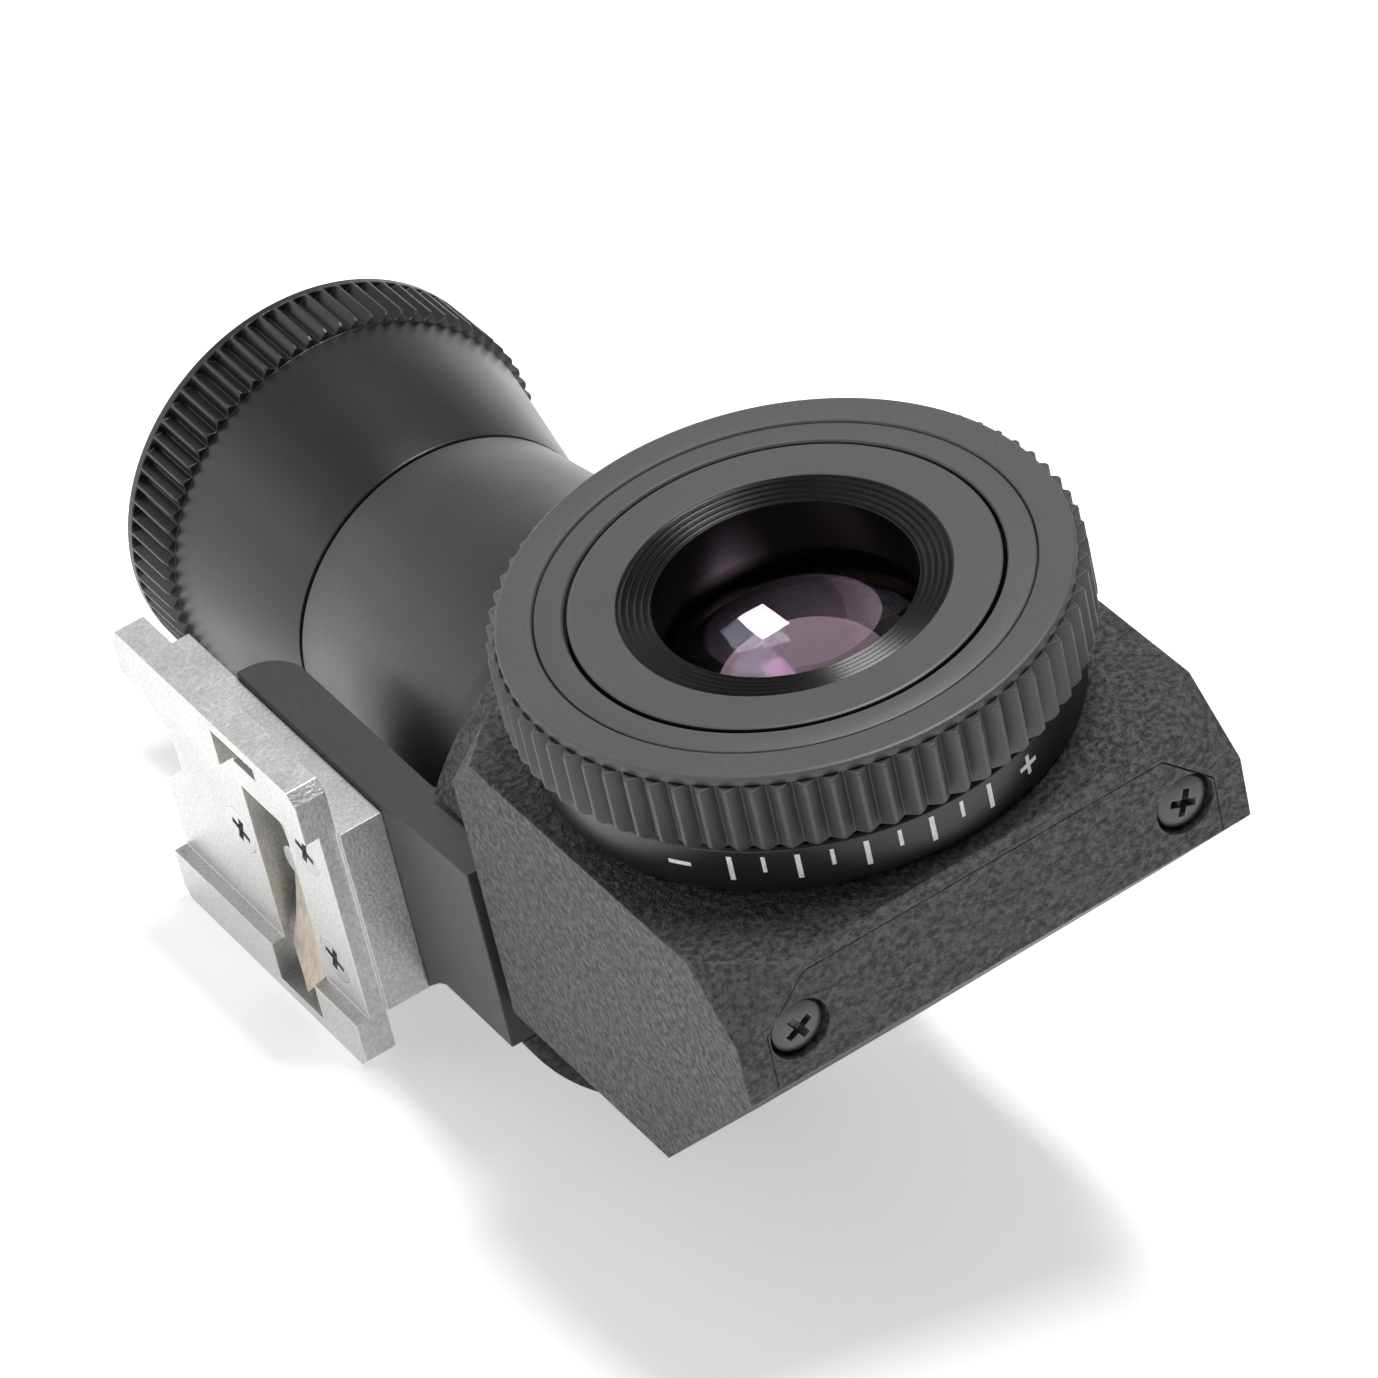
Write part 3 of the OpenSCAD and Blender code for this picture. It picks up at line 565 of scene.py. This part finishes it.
def eyepiece_neck():
    """Fixed neck under the ring and the narrow land inside it, level with the cell's face."""
    outline = [
        (NECK_BORE, NECK_Z0 - 2), (SPIGOT_R, NECK_Z0 - 2), (SPIGOT_R, NECK_Z0 + 0.02),
        (NECK_R - 0.3, NECK_Z0 + 0.02),
        (NECK_R, NECK_Z0 + 0.3), (NECK_R, RING_Z0 - 0.45), (NECK_R - 0.15, RING_Z0 - 0.3),
        (NECK_TOP_R, RING_Z0 - 0.3), (NECK_TOP_R, SNAP_Z - 0.3), (NECK_TOP_R - 0.4, SNAP_Z - 0.3),
        (NECK_TOP_R - 0.4, SNAP_Z + 0.3), (NECK_TOP_R, SNAP_Z + 0.3), (NECK_TOP_R, CELL_FACE - 0.14),
        (NECK_TOP_R - 0.05, CELL_FACE - 0.04), (NECK_TOP_R - 0.16, CELL_FACE),
        (CELL_R + 0.27, CELL_FACE), (CELL_R + 0.16, CELL_FACE - 0.12), (CELL_R + 0.16, CELL_FACE - 0.8),
        (CELL_R + 0.05, CELL_FACE - 0.85), (CELL_R + 0.05, NECK_LEDGE_Z), (NECK_BORE, NECK_LEDGE_Z)]
    bm = lathe(outline, on_eyepiece())
    neck = finished("marked_eyepiece_neck", bm, "head", materials["anodised_black"], ["eyepiece_neck"])
    land = materials["ring_black"]
    neck.data.materials.append(land)
    for face in neck.data.polygons:
        if face.center.z > (RING_Z0 + 1) * MM:
            face.material_index = 1


def mark(bm, turn, z0, z1, width):
    """One white mark on the neck: a thin curved strip, width in millimetres round the neck."""
    radius = NECK_R + MARK_HIGH
    half = width / 2 / NECK_R
    across = max(2, int(width / 0.3))
    rows = []
    for z in (z0, z1):
        row = []
        for i in range(across + 1):
            angle = turn - half + 2 * half * i / across
            spot = Vector((radius * math.cos(angle), radius * math.sin(angle), z)) * MM
            row.append(bm.verts.new(on_eyepiece() @ spot))
        rows.append(row)
    for i in range(across):
        bm.faces.new((rows[0][i], rows[0][i + 1], rows[1][i + 1], rows[1][i]))


def neck_marks():
    """Plain dioptre scale: a row of ticks, a longer one in the middle, + and - at its ends."""
    front = math.radians(-111)
    spacing = math.radians(7)
    top = RING_Z0 - 0.75
    short_tick = 0.95
    long_tick = 1.45
    bm = bmesh.new()
    for i in range(-4, 5):
        long = i % 2 == 0
        mark(bm, front + i * spacing, top - (long_tick if long else short_tick), top, 0.26 if long else 0.2)
    middle_z = top - 0.75
    for end in (-1, 1):
        turn = front + end * 5.6 * spacing
        mark(bm, turn, middle_z - 0.12, middle_z + 0.12, 1.2)
        if end > 0:
            mark(bm, turn, middle_z - 0.55, middle_z + 0.55, 0.24)
    finished("dioptre_scale", bm, "head", white_paint())


# ---------------------------------------------------------------- barrel

def barrel_tube():
    outline = softened_corners([
        (TUBE_BORE, TUBE_BACK), (TUBE_THREAD_R, TUBE_BACK), (TUBE_THREAD_R, JOURNAL_Y0),
        (JOURNAL_R, JOURNAL_Y0), (JOURNAL_R, SHOULDER_Y), (TUBE_R, SHOULDER_Y), (TUBE_R, FLARE_Y),
        (WAIST_R, WAIST_Y), (NOSE_R, WAIST_Y), (NOSE_R, NOSE_Y), (TUBE_BORE, NOSE_Y)], 0.1)
    bm = lathe(outline, on_barrel(), 256)
    finished("barrel_tube_turned", bm, "head", materials["anodised_black"], ["barrel_tube"])


def objective_sleeve():
    """Flared sleeve with a knurled rim and a smooth bevelled lip."""
    deep = RIM_TIP - RIM_ROOT
    teeth_end = RIM_Y1 - 0.5
    outline = [
        (NOSE_R + 0.05, SLEEVE_Y0), (WAIST_R - 0.08, SLEEVE_Y0), (WAIST_R, SLEEVE_Y0 + 0.07),
        (RIM_ROOT - 0.03, RIM_Y0 - 0.15, 0), (RIM_ROOT - 0.05, RIM_Y0 + 0.05),
        (RIM_ROOT + 0.03, RIM_Y0 + 0.12, 0.7), (RIM_ROOT, RIM_Y0 + 0.35, 1),
        (RIM_ROOT, teeth_end - 0.06, 1), (RIM_TIP - 0.02, teeth_end, 0), (RIM_TIP - 0.02, RIM_Y1 - 0.08),
        (RIM_TIP - 0.08, RIM_Y1),
        (LIP_R + 0.08, SLEEVE_Y1 - 0.12), (LIP_R, SLEEVE_Y1), (HOOD_R + 0.12, SLEEVE_Y1),
        (HOOD_R, SLEEVE_Y1 - 0.12), (HOOD_R, SLEEVE_Y1 - HOOD_DEEP), (FRONT_BORE, SLEEVE_Y1 - HOOD_DEEP),
        (FRONT_BORE, SEAT_Y), (NOSE_R + 0.05, SEAT_Y)]
    outline = [point if len(point) == 3 else (*point, 0) for point in outline]
    bm = knurled(outline, deep, RIM_TEETH, on_barrel())
    finished("knurled_objective_sleeve", bm, "objective_sleeve", materials["anodised_black"],
             ["objective_sleeve"], 24)


# ---------------------------------------------------------------- screws

def cross_cutters(place, radius, deep):
    """The two tapered bars of a screwdriver's cross recess."""
    bars = []
    for turn in (0, math.pi / 2):
        bm = bmesh.new()
        top, bottom = radius * 0.68, radius * 0.3
        wide, narrow = radius * 0.17, radius * 0.1
        corners = []
        for reach, half, height in ((top, wide, 0.3), (bottom, narrow, -deep)):
            for x, y in ((-reach, -half), (reach, -half), (reach, half), (-reach, half)):
                spot = Matrix.Rotation(turn, 4, "Z") @ (Vector((x, y, height)) * MM)
                corners.append(bm.verts.new(place @ spot))
        for face in ((3, 2, 1, 0), (4, 5, 6, 7), (0, 1, 5, 4), (1, 2, 6, 5), (2, 3, 7, 6), (3, 0, 4, 7)):
            bm.faces.new([corners[i] for i in face])
        bmesh.ops.recalc_face_normals(bm, faces=bm.faces)
        bars.append(bm)
    return bars


def cover_screws():
    """Two sunk pan heads with cross recesses, at the ends of the cover."""
    both = bmesh.new()
    face = HOUSE_FRONT + 0.1
    axis_r = 0.02
    shank_r = 0.8
    shank_end = -4.5
    for side, turn in ((-1, 0.5), (1, 1.2)):
        place = (Matrix.Translation(Vector((BARREL_X + side * SCREW_DX, face, SCREW_Z)) * MM)
                 @ Matrix.Rotation(math.pi / 2, 4, "X") @ Matrix.Rotation(turn, 4, "Z"))
        head = [(axis_r, 0), (0.6, -0.02), (1.05, -0.09), (SCREW_R - 0.12, -0.22), (SCREW_R, -0.4),
                (SCREW_R, -0.78), (shank_r, -0.8), (shank_r, shank_end), (axis_r, shank_end)]
        screw = cut_away(lathe(head, place, 48), cross_cutters(place, SCREW_R, 0.55))
        piece = bpy.data.meshes.new("scratch_screw")
        screw.to_mesh(piece)
        screw.free()
        both.from_mesh(piece)
    finished("cover_screw_pair", both, "head", materials["dark_steel"], ["cover_screws"])


# ---------------------------------------------------------------- cast and milled parts

def softened_part(name, node, body, width):
    """The CAD part with its sharp edges rounded off by width, in millimetres."""
    bm = rounded_edges(cleaned(node), width)
    obj = finished(name, bm, body, materials[SLOT_OF[node]], [node])
    even = obj.modifiers.new("even_faces", "WEIGHTED_NORMAL")
    even.keep_sharp = True


for node, obj in nodes.items():
    obj.data.materials.clear()
    obj.data.materials.append(materials[SLOT_OF[node]])

dioptre_ring()
eye_cell()
eyepiece_neck()
neck_marks()
barrel_tube()
objective_sleeve()
cover_screws()
softened_part("housing_cast", "mirror_housing", "head", width=0.16)
softened_part("cover_plate", "mirror_cover", "head", width=0.22)
softened_part("arm_plate", "bracket_arm", "bracket", width=0.22)
softened_part("collar_cast", "collar_ring", "bracket", width=0.12)
softened_part("shoe_foot_milled", "shoe_foot", "bracket", width=0.1)


# ---------------------------------------------------------------- studio

def floor():
    """Pale sheet under the finder, seen only from above."""
    bm = bmesh.new()
    bmesh.ops.create_circle(bm, cap_ends=True, segments=64, radius=FLOOR_R)
    mesh = bpy.data.meshes.new("floor")
    bm.to_mesh(mesh)
    bm.free()
    obj = bpy.data.objects.new("floor", mesh)
    bpy.context.scene.collection.objects.link(obj)
    obj.rotation_euler = (0, REST_TILT, 0)
    obj.location = UP * REST_HEIGHT
    material, tree, where = start_material("floor")
    under = add(tree, "NewGeometry").outputs["Backfacing"]
    paper = noise(tree, where, 3.0, 3.0)
    white = add(tree, "BsdfPrincipled", {
        "Base Color": blend(tree, paper, colour(0.86), colour(0.9)), "Roughness": 0.6,
        "Emission Color": colour(1.0), "Emission Strength": 0.47})
    gone = add(tree, "BsdfTransparent")
    close_material(tree, add(tree, "MixShader", {0: under, 1: white.outputs[0], 2: gone.outputs[0]}))
    mesh.materials.append(material)


def softbox(name, azimuth, height, distance, size, power):
    """Rectangular area light aimed at the finder; azimuth 0 is on the eyepiece side, turning to +x."""
    lamp = bpy.data.lights.new(name, "AREA")
    lamp.shape = "RECTANGLE"
    lamp.size, lamp.size_y = size
    lamp.energy = power
    obj = bpy.data.objects.new(name, lamp)
    bpy.context.scene.collection.objects.link(obj)
    a, e = math.radians(azimuth), math.radians(height)
    away = Vector((math.sin(a) * math.cos(e), -math.cos(a) * math.cos(e), math.sin(e)))
    target = (cad_lo + cad_hi) / 2
    obj.location = target + away * distance
    obj.rotation_mode = "QUATERNION"
    obj.rotation_quaternion = (-away).to_track_quat("-Z", "Y")


def surroundings():
    """White room: bright round the horizon, most of all behind the finder, and dim overhead."""
    viewer = Vector((0.35, -0.94, 0.0))
    world = bpy.data.worlds.new("studio")
    world.use_nodes = True
    tree = world.node_tree
    tree.nodes.clear()
    direction = add(tree, "TexCoord").outputs["Generated"]
    height = add(tree, "VectorMath", {0: direction, 1: UP}, operation="DOT_PRODUCT").outputs["Value"]
    front = add(tree, "VectorMath", {0: direction, 1: viewer}, operation="DOT_PRODUCT").outputs["Value"]
    sky = ramp(tree, height, 0.12, 0.6, 1.0, 0.3)
    shade = ramp(tree, front, -0.6, 0.7, 1.5, 0.3)
    level = add(tree, "Math", {0: sky, 1: shade}, operation="MULTIPLY").outputs["Value"]
    light = add(tree, "Background", {"Color": colour(1.0), "Strength": level})
    add(tree, "OutputWorld", {"Surface": light.outputs[0]})
    bpy.context.scene.world = world


def camera():
    """Looks down from in front of the eyepiece, a little rolled."""
    azimuth, elevation, roll = (
        math.radians(x) for x in (VIEW_AZIMUTH, VIEW_ELEVATION, VIEW_ROLL))
    aim = Vector(VIEW_AIM) * MM
    distance = VIEW_DISTANCE * MM
    back = Vector((math.sin(azimuth) * math.cos(elevation), -math.cos(azimuth) * math.cos(elevation),
                   math.sin(elevation)))
    level = Vector((0, 0, 1)).cross(back).normalized()
    upright = back.cross(level)
    right = level * math.cos(roll) + upright * math.sin(roll)
    up = back.cross(right)
    lens = bpy.data.cameras.new("camera")
    lens.sensor_width = 36
    lens.lens = LENS_MM
    lens.clip_start = 0.02
    lens.clip_end = 20
    obj = bpy.data.objects.new("camera", lens)
    bpy.context.scene.collection.objects.link(obj)
    turn = Matrix((right, up, back)).transposed().to_4x4()
    obj.matrix_world = Matrix.Translation(aim + back * distance) @ turn
    bpy.context.scene.camera = obj


floor()
surroundings()
softbox("overhead", azimuth=90, height=71.8, distance=0.6, size=(0.3, 0.18), power=4.0)
softbox("left_sweep", azimuth=-115, height=35, distance=0.7, size=(0.8, 0.7), power=0.6)
camera()
bpy.context.scene.view_settings.view_transform = "Standard"
